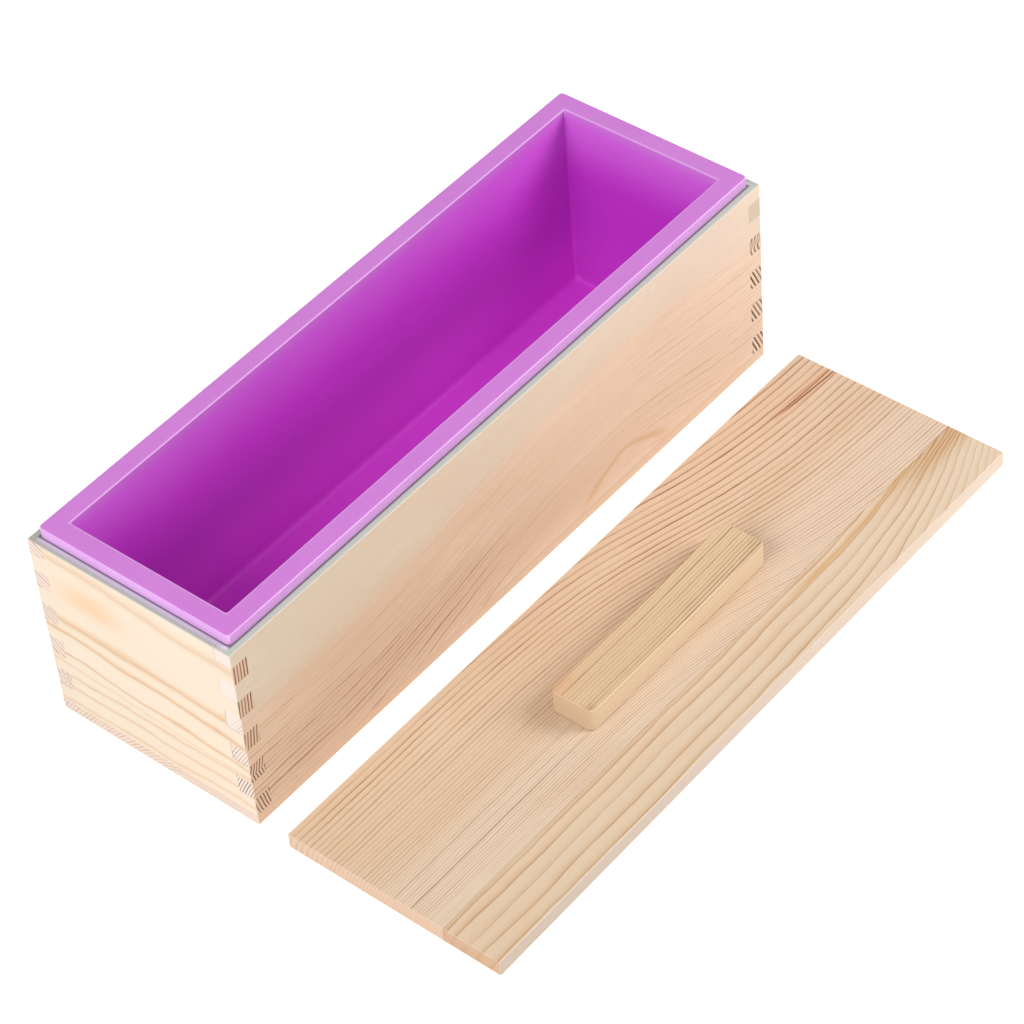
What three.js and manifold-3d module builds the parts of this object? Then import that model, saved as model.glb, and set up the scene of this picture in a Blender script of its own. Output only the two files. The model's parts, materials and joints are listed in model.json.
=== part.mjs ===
// A loaf mould for cold-process soap. A finger-jointed pine box holds a soft silicone liner, and a
// loose pine lid with a bar handle lies on the table beside the box. Millimetres, +Z up, +X along
// the loaf, -Y towards the lid. The origin is the middle of the box's underside.

import * as THREE from "three";
import { mergeVertices } from "three/addons/utils/BufferGeometryUtils.js";
import Module from "manifold-3d";

const manifold = await Module();
manifold.setup();

// ---- driving dimensions ----

const box = { length: 280, width: 90, height: 82, base: 5, wall: 7 };
const finger = { pitch: 7.9, count: 10 };
const glueGap = 0.1;
const restGap = 0.1;
const fastenerGap = 0.1;

const brad = {
  headRadius: 1.1,
  headHeight: 0.6,
  shankRadius: 0.6,
  length: 18,
  tipLength: 1.5,
  recess: 0.2,
};
const bradsPerLongWall = 4;
const bradSpacing = 80;

const liner = {
  flange: { length: 273.3, width: 84.5, radius: 1.8, top: 86.5 },
  body: { length: 265, width: 75, radius: 4 },
  opening: { length: 258.3, width: 69.3, radius: 1 },
  taper: 2,
  floor: 2.9,
};

const lid = { length: 283, width: 90, thickness: 6.5, narrowBoard: 23.4, x: 0.5, y: -104.25 };
const handle = { length: 97, width: 18, height: 10, radius: 2.5 };
const screw = {
  headRadius: 3.4,
  headRim: 0.3,
  coneHeight: 2,
  shankRadius: 1.5,
  length: 13,
  tipLength: 2.5,
  recess: 0.3,
  spacing: 60,
};
const crossSlot = { length: 3.6, width: 0.8, depth: 1.1 };

// ---- derived dimensions ----

const wallHeight = box.height - box.base;
const longWallY = (box.width - box.wall) / 2;
const endBoardX = (box.length - box.wall) / 2;
const wideBoard = lid.width - lid.narrowBoard - glueGap;
const handleBottom = lid.thickness + glueGap;
const overshoot = 1;
const cornerSegments = 6;
const fastenerSegments = 16;

// ---- materials ----

const pine = new THREE.MeshStandardMaterial({ color: 0xe2c29c, roughness: 0.62, metalness: 0 });
const silicone = new THREE.MeshStandardMaterial({ color: 0xb43cba, roughness: 0.48, metalness: 0 });
const steel = new THREE.MeshStandardMaterial({ color: 0xb4b4b0, roughness: 0.35, metalness: 1 });

// ---- shapes ----

// A block centred in X and Y that stands on z = 0.
function block(length, width, height) {
  return new THREE.BoxGeometry(length, width, height).translate(0, 0, height / 2);
}

function roundedRectangle(length, width, radius) {
  const x = length / 2 - radius;
  const y = width / 2 - radius;
  const outline = new THREE.Shape();
  outline.absarc(x, y, radius, 0, Math.PI / 2);
  outline.absarc(-x, y, radius, Math.PI / 2, Math.PI);
  outline.absarc(-x, -y, radius, Math.PI, Math.PI * 1.5);
  outline.absarc(x, -y, radius, Math.PI * 1.5, Math.PI * 2);
  outline.closePath();
  return outline;
}

// A rounded block standing on z = 0. Its lower end is smaller by the taper, in length and in width.
function roundedBlock(length, width, radius, height, taper = 0) {
  const outline = roundedRectangle(length, width, radius);
  const options = { depth: height, bevelEnabled: false, curveSegments: cornerSegments };
  const geometry = new THREE.ExtrudeGeometry(outline, options);
  const position = geometry.attributes.position;
  for (let i = 0; i < position.count; i += 1) {
    const share = taper * (1 - position.getZ(i) / height);
    const x = position.getX(i) * (1 - share / length);
    const y = position.getY(i) * (1 - share / width);
    position.setXY(i, x, y);
  }
  return geometry;
}

// A turned solid about +Z. The profile lists [radius, height] from the axis up and back to the axis.
function turned(profile) {
  const points = profile.map(([radius, height]) => new THREE.Vector2(radius, height));
  return new THREE.LatheGeometry(points, fastenerSegments).rotateX(Math.PI / 2);
}

function bradProfile(gap) {
  const shank = brad.shankRadius + gap;
  const head = brad.headRadius + gap;
  const neck = brad.headHeight + gap;
  const underHead = gap > 0 ? -overshoot : 0;
  return [
    [0, underHead],
    [head, underHead],
    [head, neck],
    [shank, neck],
    [shank, brad.length - brad.tipLength],
    [shank / 2, brad.length + gap],
    [0, brad.length + gap],
  ];
}

// The countersunk head is at the bottom and the point is at the top.
function screwProfile(gap) {
  const shank = screw.shankRadius + gap;
  const head = screw.headRadius + gap;
  const underHead = gap > 0 ? -overshoot : 0;
  return [
    [0, underHead],
    [head, underHead],
    [head, screw.headRim + gap],
    [shank, screw.headRim + screw.coneHeight + gap],
    [shank, screw.length - screw.tipLength],
    [shank / 3, screw.length + gap],
    [0, screw.length + gap],
  ];
}

// ---- joining and cutting ----

// Triangles that merging has flattened to a line, as at a turned solid's axis, are dropped.
function wholeTriangles(index) {
  const kept = [];
  for (let i = 0; i < index.count; i += 3) {
    const [a, b, c] = [index.getX(i), index.getX(i + 1), index.getX(i + 2)];
    if (a !== b && b !== c && c !== a) {
      kept.push(a, b, c);
    }
  }
  return new Uint32Array(kept);
}

function toSolid(geometry) {
  const bare = geometry.clone();
  bare.deleteAttribute("normal");
  bare.deleteAttribute("uv");
  const welded = mergeVertices(bare);
  const vertProperties = new Float32Array(welded.attributes.position.array);
  const triVerts = wholeTriangles(welded.index);
  return new manifold.Manifold(new manifold.Mesh({ numProp: 3, vertProperties, triVerts }));
}

function toGeometry(solid) {
  const { vertProperties, triVerts } = solid.getMesh();
  const geometry = new THREE.BufferGeometry();
  geometry.setAttribute("position", new THREE.BufferAttribute(vertProperties, 3));
  geometry.setIndex(new THREE.BufferAttribute(triVerts, 1));
  geometry.computeVertexNormals();
  return geometry;
}

// The body joined to the added geometries, then cut by the removed ones.
function carve(body, { added = [], removed = [] }) {
  let solid = toSolid(body);
  for (const geometry of added) {
    solid = solid.add(toSolid(geometry));
  }
  for (const geometry of removed) {
    solid = solid.subtract(toSolid(geometry));
  }
  return toGeometry(solid);
}

// ---- fastener places ----

function evenlySpaced(count, spacing) {
  return Array.from({ length: count }, (_, i) => (i - (count - 1) / 2) * spacing);
}

const longWallBrads = evenlySpaced(bradsPerLongWall, bradSpacing);
const screwPlaces = evenlySpaced(2, screw.spacing);

// Every brad's place under the box: a row along each long wall, then one under each end board.
const bradPlaces = [
  ...longWallBrads.map((x) => [x, -longWallY]),
  ...longWallBrads.map((x) => [x, longWallY]),
  [-endBoardX, 0],
  [endBoardX, 0],
];

function bradHole(x, y, z) {
  return turned(bradProfile(fastenerGap)).translate(x, y, z);
}

function screwHole(x, z) {
  return turned(screwProfile(fastenerGap)).translate(x, 0, z);
}

// ---- the box ----

// The height range of one finger slot above the base board. Slots are counted upwards, and the top
// one ends at the rim. The end boards fill the even slots and the long walls fill the odd ones.
function slotRange(slot) {
  const isBottom = slot === 0;
  const isTop = slot === finger.count - 1;
  const lower = isBottom ? -overshoot : slot * finger.pitch;
  const upper = isTop ? wallHeight + overshoot : (slot + 1) * finger.pitch;
  return [lower, upper];
}

// Notches at both ends of a board that runs along X. Each is wider than its slot by the gap above
// and below, and one wall plus the glue gap deep.
function fingerNotches(firstSlot, boardLength, gap) {
  const reach = 2 * (box.wall + glueGap);
  const notches = [];
  for (let slot = firstSlot; slot < finger.count; slot += 2) {
    const [lower, upper] = slotRange(slot);
    for (const end of [-boardLength / 2, boardLength / 2]) {
      const notch = block(reach, 2 * box.wall, upper - lower + 2 * gap);
      notches.push(notch.translate(end, 0, lower - gap));
    }
  }
  return notches;
}

// Both long walls share this shape: notches at both ends, and brad holes up into the lower edge.
function longWall() {
  const notches = fingerNotches(0, box.length, glueGap);
  const holes = longWallBrads.map((x) => bradHole(x, 0, brad.recess - box.base));
  return carve(block(box.length, box.wall, wallHeight), { removed: [...notches, ...holes] });
}

function endBoard() {
  const notches = fingerNotches(1, box.width, 0).map((notch) => notch.rotateZ(Math.PI / 2));
  const hole = bradHole(0, 0, brad.recess - box.base);
  return carve(block(box.wall, box.width, wallHeight), { removed: [...notches, hole] });
}

function baseBoard() {
  const holes = bradPlaces.map(([x, y]) => bradHole(x, y, brad.recess));
  return carve(block(box.length, box.width, box.base), { removed: holes });
}

// ---- the silicone liner ----

// A tapered tub hung from a flat flange that rests on the box's rim.
function linerShell() {
  const { flange, body, opening } = liner;
  const underside = box.base + restGap;
  const flangeBottom = box.height + restGap;
  const floorTop = underside + liner.floor;
  const tubHeight = flangeBottom - underside + overshoot;
  const hollowHeight = flange.top - floorTop + overshoot;
  const tub = roundedBlock(body.length, body.width, body.radius, tubHeight, liner.taper);
  const rim = roundedBlock(flange.length, flange.width, flange.radius, flange.top - flangeBottom);
  const hollow = roundedBlock(opening.length, opening.width, opening.radius, hollowHeight, liner.taper);
  return carve(tub.translate(0, 0, underside), {
    added: [rim.translate(0, 0, flangeBottom)],
    removed: [hollow.translate(0, 0, floorTop)],
  });
}

// ---- the lid, about its own middle ----

function lidWideBoard() {
  const holes = screwPlaces.map((x) => screwHole(x, screw.recess));
  const centreY = (lid.width - wideBoard) / 2;
  const board = block(lid.length, wideBoard, lid.thickness).translate(0, centreY, 0);
  return carve(board, { removed: holes });
}

function lidHandle() {
  const holes = screwPlaces.map((x) => screwHole(x, screw.recess));
  const bar = roundedBlock(handle.length, handle.width, handle.radius, handle.height);
  return carve(bar.translate(0, 0, handleBottom), { removed: holes });
}

function handleScrew() {
  const blade = block(crossSlot.length, crossSlot.width, crossSlot.depth + overshoot);
  const blades = [blade.translate(0, 0, -overshoot), blade.clone().rotateZ(Math.PI / 2)];
  return carve(turned(screwProfile(0)), { removed: blades });
}

// ---- assembly ----

function piece(name, geometry, material, x = 0, y = 0, z = 0) {
  const mesh = new THREE.Mesh(geometry, material);
  mesh.name = name;
  mesh.position.set(x, y, z);
  return mesh;
}

function boxGroup() {
  const longWallShape = longWall();
  const endBoardShape = endBoard();
  const bradShape = carve(turned(bradProfile(0)), {});
  const group = new THREE.Group();
  group.add(
    piece("base_board", baseBoard(), pine),
    piece("front_wall", longWallShape, pine, 0, -longWallY, box.base),
    piece("back_wall", longWallShape, pine, 0, longWallY, box.base),
    piece("left_end", endBoardShape, pine, -endBoardX, 0, box.base),
    piece("right_end", endBoardShape, pine, endBoardX, 0, box.base),
  );
  bradPlaces.forEach(([x, y], i) => {
    group.add(piece(`base_brad_${i + 1}`, bradShape, steel, x, y, brad.recess));
  });
  return group;
}

function lidGroup() {
  const narrowBoardY = -(lid.width - lid.narrowBoard) / 2;
  const narrowBoard = block(lid.length, lid.narrowBoard, lid.thickness);
  const screwShape = handleScrew();
  const group = new THREE.Group();
  group.position.set(lid.x, lid.y, 0);
  group.add(
    piece("lid_wide_board", lidWideBoard(), pine),
    piece("lid_narrow_board", narrowBoard, pine, 0, narrowBoardY, 0),
    piece("lid_handle", lidHandle(), pine),
  );
  screwPlaces.forEach((x, i) => {
    group.add(piece(`handle_screw_${i + 1}`, screwShape, steel, x, 0, screw.recess));
  });
  return group;
}

const group = new THREE.Group();
group.add(boxGroup(), piece("liner", linerShell(), silicone), lidGroup());

export default group;
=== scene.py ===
"""Looks for the soap loaf mould: a finger-jointed pine box, a silicone liner and a loose pine lid.

Every length in this file is in millimetres unless its name says otherwise, and is turned into
metres where it meets Blender. Each board has its own growth rings, as a solid texture that the
faces cut through, so end grain and face grain belong to the same piece of wood.
"""

import json
import math
import random

import bmesh
import bpy
from mathutils import Matrix, Vector


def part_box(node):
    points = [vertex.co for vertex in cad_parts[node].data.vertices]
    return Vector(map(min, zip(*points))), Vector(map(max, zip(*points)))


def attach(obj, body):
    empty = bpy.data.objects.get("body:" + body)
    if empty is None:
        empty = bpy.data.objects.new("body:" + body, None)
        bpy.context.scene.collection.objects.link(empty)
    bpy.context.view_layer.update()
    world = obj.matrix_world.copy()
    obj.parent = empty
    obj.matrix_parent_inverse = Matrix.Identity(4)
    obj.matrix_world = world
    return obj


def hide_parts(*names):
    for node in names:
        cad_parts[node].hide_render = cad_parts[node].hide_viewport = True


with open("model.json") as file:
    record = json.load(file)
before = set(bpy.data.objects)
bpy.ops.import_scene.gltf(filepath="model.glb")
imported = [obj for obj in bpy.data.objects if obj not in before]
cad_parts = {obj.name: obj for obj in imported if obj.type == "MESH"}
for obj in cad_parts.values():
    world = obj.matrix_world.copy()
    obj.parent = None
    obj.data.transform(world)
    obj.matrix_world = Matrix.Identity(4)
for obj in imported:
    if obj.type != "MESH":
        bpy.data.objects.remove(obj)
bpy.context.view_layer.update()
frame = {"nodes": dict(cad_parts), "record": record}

MM = 0.001

# ---------------------------------------------------------------- node trees


class Tree:
    """Short calls for building one material's nodes. Arguments are sockets or plain numbers."""

    def __init__(self, name):
        self.material = bpy.data.materials.new(name)
        self.material.use_nodes = True
        self.nodes = self.material.node_tree.nodes
        self.links = self.material.node_tree.links
        self.shader = self.nodes["Principled BSDF"]

    def put(self, socket, value):
        if isinstance(value, bpy.types.NodeSocket):
            self.links.new(value, socket)
        else:
            socket.default_value = value

    def math(self, operation, *values):
        node = self.nodes.new("ShaderNodeMath")
        node.operation = operation
        for socket, value in zip(node.inputs, values):
            self.put(socket, value)
        return node.outputs[0]

    def add(self, a, b):
        return self.math("ADD", a, b)

    def sub(self, a, b):
        return self.math("SUBTRACT", a, b)

    def mul(self, a, b):
        return self.math("MULTIPLY", a, b)

    def div(self, a, b):
        return self.math("DIVIDE", a, b)

    def hypot(self, a, b):
        return self.math("SQRT", self.add(self.mul(a, a), self.mul(b, b)))

    def bell(self, value, centre, width):
        """1 at the centre, falling to nothing a few widths away."""
        far = self.div(self.sub(value, centre), width)
        return self.math("EXPONENT", self.mul(self.mul(far, far), -1.0))

    def rise(self, value, low, high, start=0.0, end=1.0):
        """Goes smoothly from start to end as the value goes from low to high."""
        node = self.nodes.new("ShaderNodeMapRange")
        node.interpolation_type = "SMOOTHSTEP"
        for socket, number in zip(node.inputs, (value, low, high, start, end)):
            self.put(socket, number)
        return node.outputs[0]

    def vector(self, x, y, z):
        node = self.nodes.new("ShaderNodeCombineXYZ")
        for socket, value in zip(node.inputs, (x, y, z)):
            self.put(socket, value)
        return node.outputs[0]

    def split(self, vector):
        node = self.nodes.new("ShaderNodeSeparateXYZ")
        self.put(node.inputs[0], vector)
        return list(node.outputs)

    def place(self):
        """Object coordinates in millimetres: X, Y and Z."""
        node = self.nodes.new("ShaderNodeTexCoord")
        return [self.mul(axis, 1 / MM) for axis in self.split(node.outputs["Object"])]

    def facing(self):
        """How squarely the surface faces X, Y and Z, each from 0 to 1."""
        node = self.nodes.new("ShaderNodeTexCoord")
        return [self.math("ABSOLUTE", axis) for axis in self.split(node.outputs["Normal"])]

    def biggest(self, parts):
        return self.math("MAXIMUM", self.math("MAXIMUM", parts[0], parts[1]), parts[2])

    def noise(self, vector, detail=2.0, roughness=0.5):
        """A smooth random field about 0, for a vector already in its own scale."""
        node = self.nodes.new("ShaderNodeTexNoise")
        self.put(node.inputs["Vector"], vector)
        node.inputs["Scale"].default_value = 1.0
        node.inputs["Detail"].default_value = detail
        node.inputs["Roughness"].default_value = roughness
        return self.sub(node.outputs[0], 0.5)

    def dice(self, value, seed=0.0):
        """One random number from 0 to 1 for each whole value."""
        node = self.nodes.new("ShaderNodeTexWhiteNoise")
        node.noise_dimensions = "2D"
        self.put(node.inputs["Vector"], self.vector(value, seed, 0.0))
        return node.outputs["Value"]

    def mix(self, factor, a, b):
        node = self.nodes.new("ShaderNodeMix")
        node.data_type = "RGBA"
        self.put(node.inputs["Factor"], factor)
        colours = [socket for socket in node.inputs if socket.type == "RGBA"]
        self.put(colours[0], a)
        self.put(colours[1], b)
        return [socket for socket in node.outputs if socket.type == "RGBA"][0]

    def bump(self, height, distance, strength=1.0):
        node = self.nodes.new("ShaderNodeBump")
        node.inputs["Strength"].default_value = strength
        node.inputs["Distance"].default_value = distance * MM
        self.put(node.inputs["Height"], height)
        self.put(self.shader.inputs["Normal"], node.outputs[0])


def srgb(red, green, blue):
    """A screen colour, 0 to 255 each, as the linear colour that shaders use."""
    def linear(value):
        share = value / 255
        return share / 12.92 if share <= 0.04045 else ((share + 0.055) / 1.055) ** 2.4
    return (linear(red), linear(green), linear(blue), 1.0)


# ---------------------------------------------------------------- pine

LINER_LOW, LINER_HIGH = (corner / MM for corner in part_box("liner"))
BASE_LOW, BASE_HIGH = (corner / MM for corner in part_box("base_board"))
WALL_LOW, WALL_HIGH = (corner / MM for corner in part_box("front_wall"))
WIDE_LOW, WIDE_HIGH = (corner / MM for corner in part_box("lid_wide_board"))
NARROW_LOW, NARROW_HIGH = (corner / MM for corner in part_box("lid_narrow_board"))
HANDLE_LOW, HANDLE_HIGH = (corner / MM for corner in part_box("lid_handle"))
BOX_HALF_LENGTH = BASE_HIGH.x
BOX_HALF_WIDTH = BASE_HIGH.y
BASE_TOP = BASE_HIGH.z
RIM_Z = WALL_HIGH.z
WALL_THICKNESS = WALL_HIGH.y - WALL_LOW.y
LID_MIDDLE = (WIDE_LOW.x + WIDE_HIGH.x) / 2
LID_TOP = WIDE_HIGH.z

RING_END = (0.955, 1.0)
END_LINE_RISE = 0.22
DARKEST = 0.95
PORE_SIZE = 0.35
BLOTCH_SIZE = (55.0, 14.0)
STREAK_SIZE = (4.0, 0.4)
END_GRAIN_FACING = (0.55, 0.85)
# Facings at which eased edges turn paler: partly rubbed wood, partly a painted highlight.
WORN_AND_HIGHLIT_FACING = (0.80, 0.985)


def pine(name, board):
    """A board's wood, cut from a solid block of growth rings.

    The board says which way its grain runs, as (axis, sign, zero place) for the directions along
    the grain, across it and into the board, and which ring each point lies in. Each ring darkens
    towards its outer side, where its late wood ends in a sharp line.
    """
    tree = Tree(name)
    tone = board["tones"]
    place = tree.place()
    facing = tree.facing()
    along, across, depth = (
        tree.mul(tree.sub(place[axis], zero), sign) for axis, sign, zero in board["axes"])

    def grain(length, width, shift=0.0, detail=2.0):
        spot = tree.vector(
            tree.add(tree.div(along, length), board["seed"] + shift), tree.div(across, width),
            tree.div(depth, width))
        return tree.noise(spot, detail)

    def waves(amount, length, width, shift):
        return tree.mul(grain(length, width, shift), amount)

    bent = tree.add(across, tree.add(waves(*board["sway"], 0.0), waves(*board["ripple"], 3.0)))
    spot = (tree, along, bent, depth)
    rings = board["rings"](*spot)
    calm = board["calm"](*spot, rings)
    zone = board["zone"](*spot, rings)
    late, share, clear, chance = late_wood(tree, board, rings, along, calm, zone)
    length = tree.rise(along, *board["length"])
    blotch = grain(*BLOTCH_SIZE, 7.0, 3.0)
    streak = grain(*STREAK_SIZE, 1.0, 3.0)
    pores = tree.noise(tree.vector(*(tree.div(part, PORE_SIZE) for part in place)), 3.0)

    dark = tree.math("MINIMUM", tree.mul(late, board["contrast"]), DARKEST)
    colour = tree.mix(dark, body_colour(tree, board, length, zone, blotch), tone["late"])
    for mark, mark_tone in board["marks"](*spot, rings):
        colour = tree.mix(mark, colour, mark_tone)
    fibre = board["fibre"]
    colour = tree.mix(tree.rise(streak, 0.0, 0.4, 0.0, fibre), colour, tone["late"])
    colour = tree.mix(tree.rise(streak, -0.4, 0.0, fibre, 0.0), colour, tone["pale"])
    side = tree.rise(facing[board["axes"][1][0]], *END_GRAIN_FACING, 0.0, board["side"])
    colour = tree.mix(side, colour, tree.mix(length, tone["side_near"], tone["side_far"]))
    end_grain = tree.rise(facing[board["axes"][0][0]], *END_GRAIN_FACING)
    end_colour = end_grain_colour(tree, board, pores, share, zone, clear, chance)
    colour = tree.mix(end_grain, colour, end_colour)
    if "rim" in tone:
        colour = rim_colour(tree, place, facing, streak, colour, tone)
    # Eased edges, where the faces turn, are paler: partly rubbed wood and partly a painted
    # highlight where the rounded edges would catch light.
    worn_and_highlit = tree.rise(tree.biggest(facing), *WORN_AND_HIGHLIT_FACING, 0.5, 0.0)
    worn_and_highlit = tree.mul(worn_and_highlit, tree.rise(blotch, -0.3, 0.2, 0.3, 1.0))
    colour = tree.mix(worn_and_highlit, colour, tone["pale"])

    tree.put(tree.shader.inputs["Base Color"], colour)
    rough = tree.sub(tree.rise(streak, -0.4, 0.4, 0.60, 0.74), tree.mul(late, 0.12))
    tree.put(tree.shader.inputs["Roughness"], rough)
    tree.shader.inputs["Specular IOR Level"].default_value = 0.25
    relief = tree.add(tree.mul(late, 0.5), tree.add(tree.mul(streak, 0.9), tree.mul(pores, 0.2)))
    tree.bump(relief, 0.05, 0.7)
    return tree.material


def late_wood(tree, board, rings, along, calm, zone):
    """How dark the rings are, and what the end grain is made from.

    Gives the darkness, how far across its ring each point lies, how clearly rings show there, and
    each ring's own strength.
    """
    ring = tree.math("FLOOR", rings)
    share = tree.math("FRACT", rings)
    softness, line_start, line_part = board["line"]
    shade = tree.math("POWER", share, softness)
    line = tree.rise(share, line_start, RING_END[0])
    fall = tree.rise(share, *RING_END, 1.0, 0.0)
    chance = tree.rise(tree.dice(ring, board["seed"]), 0.1, 0.95, board["faintest"], 1.0)
    stroke_length, weakest = board["stroke"]
    stroke = tree.noise(
        tree.vector(tree.div(along, stroke_length), tree.mul(ring, 1.7), board["seed"]))
    stroke = tree.rise(stroke, -0.25, 0.25, weakest, 1.1)
    clear = tree.mul(tree.mul(fall, calm), tree.rise(zone, 0.0, 1.0, 1.0, board["zone_rings"]))
    late = tree.add(tree.mul(shade, 1.0 - line_part), tree.mul(line, line_part))
    late = tree.mul(tree.mul(late, clear), tree.mul(chance, stroke))
    return late, share, clear, chance


def body_colour(tree, board, length, zone, blotch):
    """The wood between the dark lines, with its soft warm and pale patches."""
    tone = board["tones"]
    warmth = board["blotches"]
    body = tree.mix(length, tone["near"], tone["far"])
    body = tree.mix(zone, body, tree.mix(length, tone["zone_near"], tone["zone_far"]))
    body = tree.mix(tree.rise(blotch, -0.05, 0.28, 0.0, warmth), body, tone["warm"])
    return tree.mix(tree.rise(blotch, -0.28, -0.05, warmth, 0.0), body, tone["pale"])


def end_grain_colour(tree, board, pores, share, zone, clear, chance):
    """The rings' cut ends: a dark band to each ring, and fine pores."""
    tone = board["tones"]
    start, contrast = board["end_line"]
    dark = tree.mul(tree.rise(share, start, start + END_LINE_RISE), clear)
    dark = tree.mul(dark, tree.rise(chance, 0.0, 1.0, 0.5 * contrast, contrast))
    dark = tree.math("MINIMUM", dark, DARKEST)
    colour = tree.mix(dark, tree.mix(zone, tone["end"], tone["zone_end"]), tone["end_late"])
    return tree.mix(tree.rise(pores, 0.0, 0.4, 0.0, 0.25), colour, tone["end_late"])


def rim_colour(tree, place, facing, streak, colour, tone):
    """The walls' top edges: grey-green, with painted lilac light from the flange by its ends and a
    painted shadow beside its long sides.
    """
    high = tree.rise(place[2], RIM_Z - 0.8, RIM_Z - 0.4)
    rim = tree.mul(high, tree.rise(facing[2], 0.5, 0.9))
    stripes = tree.rise(streak, -0.3, 0.3, 0.65, 1.0)
    colour = tree.mix(tree.mul(rim, stripes), colour, tone["rim"])
    past_end = tree.sub(tree.math("ABSOLUTE", place[0]), LINER_HIGH.x)
    past_side = tree.sub(tree.math("ABSOLUTE", place[1]), LINER_HIGH.y)
    # Painted lilac light thrown by the flange onto the rim near the liner's ends.
    glow = tree.mul(tree.rise(past_end, 0.6, 2.6, 0.85, 0.0), tree.rise(past_end, -1.0, 0.0))
    glow = tree.mul(glow, tree.rise(past_side, -1.0, 0.5, 1.0, 0.0))
    colour = tree.mix(tree.mul(glow, high), colour, tone["rim_painted_lilac_light"])
    # Painted shadow on the rim right beside the flange's long sides.
    beside = tree.rise(past_side, 0.15, 0.75, 0.8, 0.0)
    shadow = tree.mul(beside, tree.rise(past_end, 0.0, 1.0, 1.0, 0.0))
    return tree.mix(tree.mul(shadow, high), colour, tone["rim_shadow"])


def tones(near, far, late, **others):
    """A board's colours. Those that aren't given are taken from the usual pine."""
    given = {
        "near": near,
        "far": far,
        "late": late,
        "zone_near": near,
        "zone_far": far,
        "side_near": near,
        "side_far": far,
        "warm": (216, 178, 138),
        "pale": (240, 220, 196),
        "end": (212, 176, 144),
        "end_late": (104, 70, 48),
    }
    given.update(others)
    given.setdefault("zone_end", given["end"])
    return {key: srgb(*value) for key, value in given.items()}


# Each ring function below takes places in the board and gives the number of the ring there. A calm
# function says how clearly the rings show, a zone function where the zone tones are, and a marks
# function gives (how much, tone) for whatever else is on the board.


def everywhere(t, along, across, depth, rings):
    return 1.0


def nowhere(t, along, across, depth, rings):
    return 0.0


def unmarked(t, along, across, depth, rings):
    return ()


FRONT_RING = 1.1
FRONT_PITH_BELOW = 30.0

# Squares of how far the pith is in front of the front wall where it is nearest, and how much they
# grow towards each end.
FRONT_PITH_NEAREST = 6160.0
FRONT_PITH_LEFT = 2490.0
FRONT_PITH_RIGHT = 1250.0


def front_rings(t, along, across, depth):
    """Flat-sawn wall. The pith lies below and in front of it, nearest at one place, so that the
    rings rise to an arch there."""
    left = t.mul(t.rise(along, -100.0, 45.0, 1.0, 0.0), FRONT_PITH_LEFT)
    right = t.mul(t.rise(along, 50.0, 142.0), FRONT_PITH_RIGHT)
    pith = t.math("SQRT", t.add(t.add(left, right), FRONT_PITH_NEAREST))
    radius = t.hypot(t.add(across, FRONT_PITH_BELOW), t.add(pith, depth))
    return t.div(radius, FRONT_RING)


def sapwood(t, along, across, depth, rings):
    """The pale outer rings, at the top of the front wall."""
    return t.rise(rings, 107.5, 116.5)


def front_calm(t, along, across, depth, rings):
    """How clearly the rings show: well low at one end, hardly in the middle, less at the other."""
    low_end = t.mul(t.rise(along, -60.0, 15.0, 0.55, 0.0), t.rise(across, 20.0, 38.0, 1.0, 0.0))
    ends = t.add(t.rise(along, -20.0, 25.0, 0.6, 0.2), t.rise(along, 50.0, 85.0, 0.0, 0.3))
    return t.add(low_end, ends)


ARCH_PLACE = 57.0
ARCH_HALF_WIDTH = 23.0
ARCH_TOP = 16.8
ARCH_DROP = 9.5
ARCH_TONE = srgb(204, 154, 92)


def front_marks(t, along, across, depth, rings):
    """A yellow arch low on the wall, where one ring just breaks through the face, and a small
    slanting spot of the same colour."""
    skin = t.rise(depth, 0.5, 2.0, 1.0, 0.0)
    side = t.math("ABSOLUTE", t.div(t.sub(along, ARCH_PLACE), ARCH_HALF_WIDTH))
    height = t.sub(ARCH_TOP, t.mul(t.math("POWER", side, 1.6), ARCH_DROP))
    inside = t.rise(side, 0.7, 1.3, 1.0, 0.0)
    thick = t.add(0.7, t.mul(side, 1.9))
    line = t.bell(t.div(t.sub(across, height), thick), 0.0, 1.0)
    yield t.mul(t.mul(line, inside), t.mul(skin, 0.5)), ARCH_TONE
    spot = t.mul(t.bell(along, -20.0, 4.0), t.bell(t.sub(across, t.mul(along, 0.4)), 15.5, 1.2))
    yield t.mul(t.mul(spot, skin), 0.35), ARCH_TONE


BACK_RING = 1.75
BACK_PITH_BELOW = 42.0
BACK_PITH_BEHIND = 58.0


def back_rings(t, along, across, depth):
    """Flat-sawn like the front wall, with the pith nearest left of the middle."""
    nearer = t.mul(t.bell(along, -40.0, 80.0), 30.0)
    slant = t.mul(t.math("SINE", t.div(across, 8.0)), 3.0)
    pith = t.sub(BACK_PITH_BEHIND, nearer)
    radius = t.hypot(t.add(across, BACK_PITH_BELOW), t.add(t.add(pith, depth), slant))
    return t.div(radius, BACK_RING)


END_HALF = 45.0

# Where rings almost level with the left end's face break through it: the height at each side, and
# how thick and how strong the band is.
LEFT_BANDS = (
    (80.0, 73.5, 2.4, 0.28),
    (49.6, 47.2, 1.9, 0.44),
    (43.6, 37.6, 1.3, 0.50),
    (32.2, 27.2, 0.8, 0.50),
    (26.0, 22.8, 0.6, 0.26),
    (20.6, 21.6, 0.8, 0.34),
    (14.0, 15.0, 1.0, 0.32),
    (6.4, 9.0, 1.0, 0.30),
)
BAND_TONE = srgb(214, 160, 100)
BAND_CORE = srgb(164, 122, 88)

LEFT_RING = 1.4
LEFT_FIRST_RING = 40.95
LEFT_CREST = 24.5


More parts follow.
